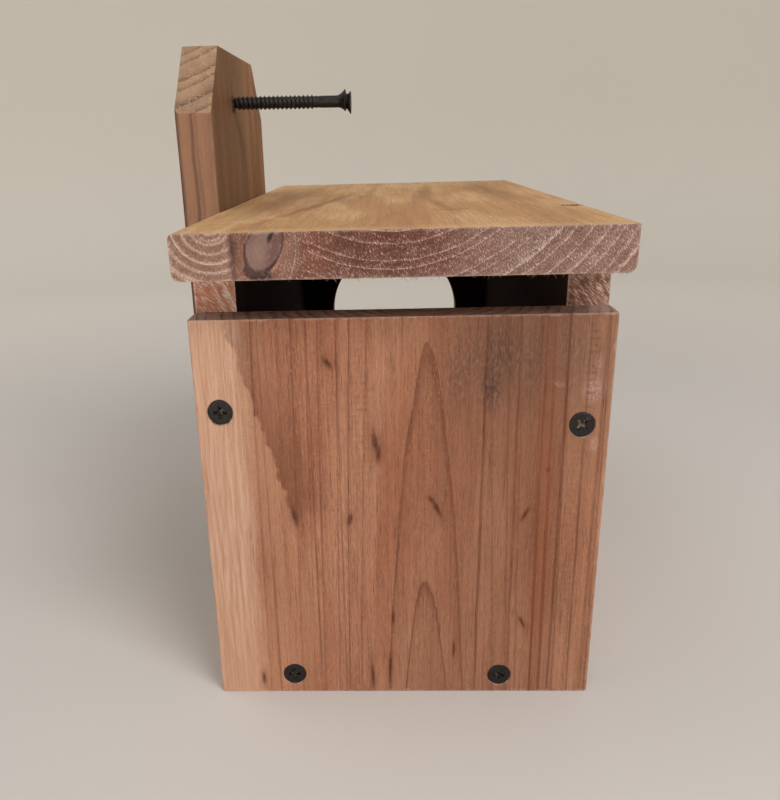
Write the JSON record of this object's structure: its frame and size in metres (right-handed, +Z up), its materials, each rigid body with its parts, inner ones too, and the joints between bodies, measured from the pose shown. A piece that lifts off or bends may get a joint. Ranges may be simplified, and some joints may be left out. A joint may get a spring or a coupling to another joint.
{
  "type": "birdhouse",
  "caption": "Low wooden nest box on its long side with a round hole in one end, a flat roof and a clipped-corner mounting board with its hanging screw started.",
  "frame": {"origin": "bottom centre of the whole part", "axes": "+X across the box, away from the mounting board; +Y along the box, from the solid end to the entrance end; +Z up"},
  "size_m": [0.154, 0.2986, 0.234],
  "materials": {
    "cedar_heartwood": "planed, bare",
    "cedar_golden": "planed, bare",
    "cedar_brown": "planed, bare",
    "cedar_pale": "planed, bare",
    "black_screw": "black phosphate"
  },
  "bodies": {
    "box": {"floor_board": "cedar_pale", "rear_wall": "cedar_pale", "front_wall": "cedar_pale", "solid_end_board": "cedar_heartwood", "entrance_end_board": "cedar_heartwood", "roof_board": "cedar_golden", "mounting_board": "cedar_brown", "solid_end_screw_1": "black_screw", "solid_end_screw_2": "black_screw", "solid_end_screw_3": "black_screw", "solid_end_screw_4": "black_screw", "entrance_end_screw_1": "black_screw", "entrance_end_screw_2": "black_screw", "entrance_end_screw_3": "black_screw", "entrance_end_screw_4": "black_screw", "roof_screw_1": "black_screw", "roof_edge_screw_1": "black_screw", "roof_edge_screw_2": "black_screw", "mounting_board_screw_1": "black_screw", "mounting_board_screw_2": "black_screw", "mounting_board_screw_3": "black_screw", "mounting_board_screw_4": "black_screw", "floor_screw_1": "black_screw", "floor_screw_2": "black_screw", "floor_screw_3": "black_screw", "floor_screw_4": "black_screw"},
    "mounting_screw": {"mounting_screw": "black_screw"}
  },
  "joints": [
    {"name": "mounting_screw_drive", "type": "slide", "parent": "box", "child": "mounting_screw", "axis": [-0.9999, 0, 0.0105], "range_m": [0, 0.0455]}
  ]
}
